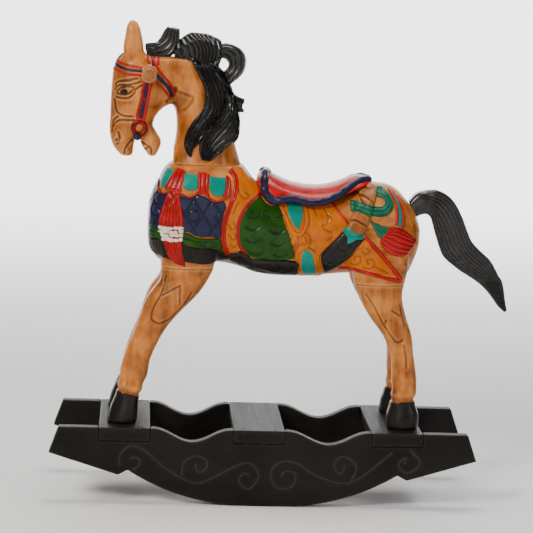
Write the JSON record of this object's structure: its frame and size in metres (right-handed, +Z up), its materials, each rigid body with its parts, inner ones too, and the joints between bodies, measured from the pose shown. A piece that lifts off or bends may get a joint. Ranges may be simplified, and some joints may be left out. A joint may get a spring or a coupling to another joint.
{
  "type": "rocking horse",
  "caption": "Carved and painted wooden rocking horse with saddle, bridle, mane and tail, standing on boards across a pair of curved rockers, with a hand grip on each side of the head.",
  "frame": {"origin": "on the floor, midway between the two rockers and under the middle of their length", "axes": "+Z up, the horse looks along -X, its left side faces -Y"},
  "size_m": [0.891, 0.28, 0.92],
  "materials": {
    "wood": "carved hardwood, stained honey brown and waxed",
    "black_paint": "black satin paint over carved wood",
    "base_paint": "charcoal paint over wood, rubbed through at the edges",
    "red_paint": "red satin paint over carved wood",
    "navy_paint": "navy satin paint over carved wood",
    "teal_paint": "teal satin paint over carved wood",
    "green_paint": "leaf green satin paint over carved wood",
    "ribbon_paint": "sea green satin paint over carved wood",
    "ochre_paint": "orange ochre satin paint over carved wood",
    "cream_paint": "cream paint over carved wood",
    "steel": "zinc-plated wood screws",
    "dowel_wood": "plain turned hardwood dowel"
  },
  "bodies": {
    "root": {"left_rocker": "base_paint", "right_rocker": "base_paint", "front_board": "base_paint", "middle_board": "base_paint", "rear_board": "base_paint", "board_screws": "steel", "body_block": "wood", "neck_block": "wood", "head_block": "wood", "left_ear": "wood", "right_ear": "wood", "left_grip": "wood", "right_grip": "wood", "forelock": "black_paint", "mane_crest": "black_paint", "mane_loop": "black_paint", "mane_tuft": "black_paint", "left_mane": "black_paint", "right_mane": "black_paint", "left_fore_leg": "wood", "right_fore_leg": "wood", "left_hind_leg": "wood", "right_hind_leg": "wood", "tail": "black_paint", "saddle": "red_paint", "leg_dowels": "dowel_wood", "neck_dowels": "dowel_wood", "head_dowels": "dowel_wood", "hoof_screws": "steel"}
  },
  "joints": []
}
